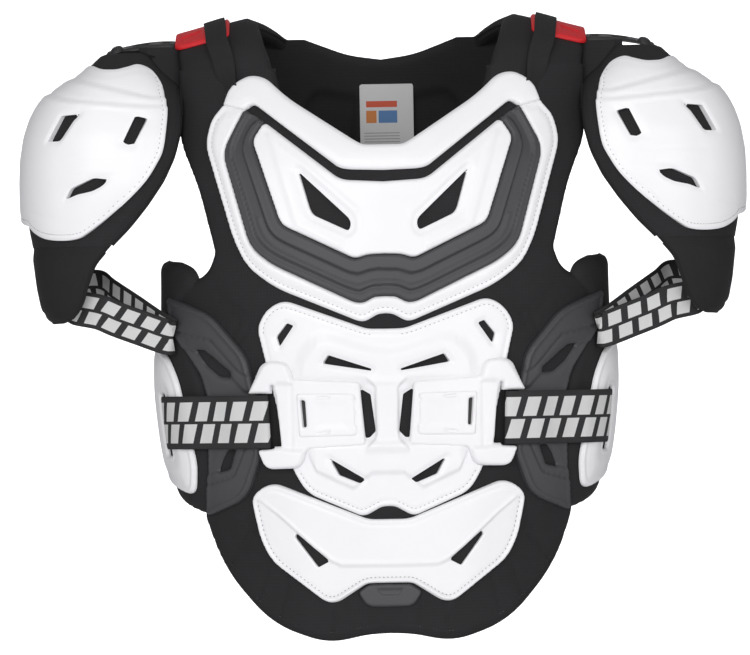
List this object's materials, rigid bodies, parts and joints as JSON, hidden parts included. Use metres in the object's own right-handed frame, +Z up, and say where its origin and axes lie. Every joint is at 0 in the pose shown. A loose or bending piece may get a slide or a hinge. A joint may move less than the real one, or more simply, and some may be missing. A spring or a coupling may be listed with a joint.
{
  "type": "roost deflector",
  "caption": "Padded vest with hard shells on chest, belly, flanks and back, hinge-free shoulder cups, bicep pads and strapped waist.",
  "frame": {"origin": "midway between the undersides of the two shoulder bridges, where the vest sits on the shoulders", "axes": "+X to the viewer's right, -Y out of the chest, +Z up"},
  "size_m": [0.6356, 0.258, 0.5498],
  "materials": {
    "padding": "matte perforated foam under mesh fabric",
    "shell": "satin moulded white",
    "moulded_grey": "satin moulded charcoal",
    "bracket": "semi-gloss red",
    "rubber_link": "satin black",
    "webbing": "woven black",
    "printed_strap": "woven charcoal with pale slanted bars",
    "label": "silver-grey satin tag"
  },
  "bodies": {
    "root": {"front_pad": "padding", "back_pad": "padding", "side_pad_left": "padding", "side_pad_right": "padding", "yoke_left": "padding", "yoke_right": "padding", "cup_pad_left": "padding", "cup_pad_right": "padding", "bicep_pad_left": "padding", "bicep_pad_right": "padding", "chest_rim": "shell", "chest_collar": "shell", "chest_insert": "shell", "abdomen_plate": "shell", "belly_plate": "shell", "side_guard_left": "shell", "side_guard_right": "shell", "strap_clip_left": "shell", "strap_clip_right": "shell", "latch_tab_left": "shell", "latch_tab_right": "shell", "cup_shell_left": "shell", "cup_shell_right": "shell", "back_plate_upper": "shell", "back_plate_lower": "shell", "chest_channel": "moulded_grey", "belly_tab": "moulded_grey", "flank_panel_left": "moulded_grey", "flank_panel_right": "moulded_grey", "shoulder_bracket_left": "bracket", "shoulder_bracket_right": "bracket", "cup_link_left": "rubber_link", "cup_link_right": "rubber_link", "shoulder_webbing_left": "webbing", "shoulder_webbing_right": "webbing", "waist_strap_left": "printed_strap", "waist_strap_right": "printed_strap", "arm_strap_left": "printed_strap", "arm_strap_right": "printed_strap", "label": "label"}
  },
  "joints": []
}
